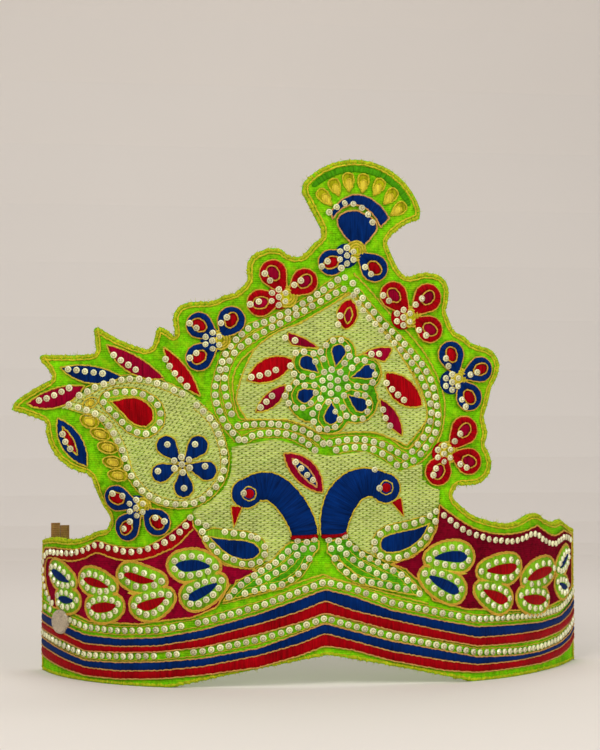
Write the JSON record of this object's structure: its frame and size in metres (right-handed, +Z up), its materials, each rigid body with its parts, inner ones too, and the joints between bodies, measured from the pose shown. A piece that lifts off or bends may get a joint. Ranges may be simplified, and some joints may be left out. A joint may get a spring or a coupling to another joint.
{
  "type": "deity crown",
  "caption": "Bent, cloth-covered board crown with a tall one-sided paisley crest, raised satin pads of birds, flowers and leaves, and rows of small cut stones.",
  "frame": {"origin": "middle of the crown's box, at the level of the rim it stands on", "axes": "+Z up; the front faces -Y and the two arms run back towards +Y; +X is the right of someone who looks at the front"},
  "size_m": [0.2774, 0.0793, 0.2375],
  "materials": {
    "blue": "royal blue satin thread over padding, with a gold outline",
    "cloth": "lime green cotton cloth, folded over the board's edge",
    "cream": "cream and lime thread ground in small upright stitches",
    "glass": "pale warm cut stones with a flat table",
    "green": "green satin thread over padding, with a yellow gold outline",
    "horn": "beige flat round stone, polished",
    "magenta": "dark magenta satin thread over padding, with an orange gold outline",
    "maroon": "dark red thread ground, closely stitched",
    "red": "bright red satin thread over padding, with a gold outline",
    "tab": "brown woven tab"
  },
  "bodies": {
    "root": {"bird_beak_left": "red", "bird_beak_right": "red", "bird_collar_left": "red", "bird_collar_right": "red", "bird_fan_left": "green", "bird_fan_right": "green", "bird_ground": "cream", "bird_leaf": "red", "bird_neck_left": "blue", "bird_neck_right": "blue", "bird_wing_left": "blue", "bird_wing_right": "blue", "closing_tab_1": "tab", "closing_tab_2": "tab", "crest_leaf_1": "magenta", "crest_leaf_2": "blue", "crest_leaf_3": "magenta", "crest_leaf_4": "red", "crest_leaf_5": "blue", "crown_board": "cloth", "field_leaves_left_1": "green", "field_leaves_left_2": "green", "field_leaves_left_3": "green", "field_leaves_left_4": "green", "field_leaves_right_1": "green", "field_leaves_right_2": "green", "field_leaves_right_3": "green", "field_leaves_right_4": "green", "field_left": "maroon", "field_right": "maroon", "flower_left": "blue", "flower_lower_left": "blue", "flower_lower_right": "red", "flower_right": "blue", "flower_top": "blue", "flower_upper_left": "red", "flower_upper_right": "red", "heart_flower": "green", "heart_ground": "cream", "heart_leaf_left_high": "magenta", "heart_leaf_left_low": "magenta", "heart_leaf_left_middle": "red", "heart_leaf_right_high": "magenta", "heart_leaf_right_low": "magenta", "heart_leaf_right_middle": "red", "heart_leaf_top": "red", "paisley_drop": "red", "paisley_flower": "blue", "paisley_ground": "cream", "plume_arc": "blue", "plume_bulb": "blue", "round_stone": "horn", "stone_row_lower": "glass", "stone_row_upper": "glass", "stripe_blue_lower": "blue", "stripe_blue_upper": "blue", "stripe_red_lower": "red", "stripe_red_upper": "red"}
  },
  "joints": []
}
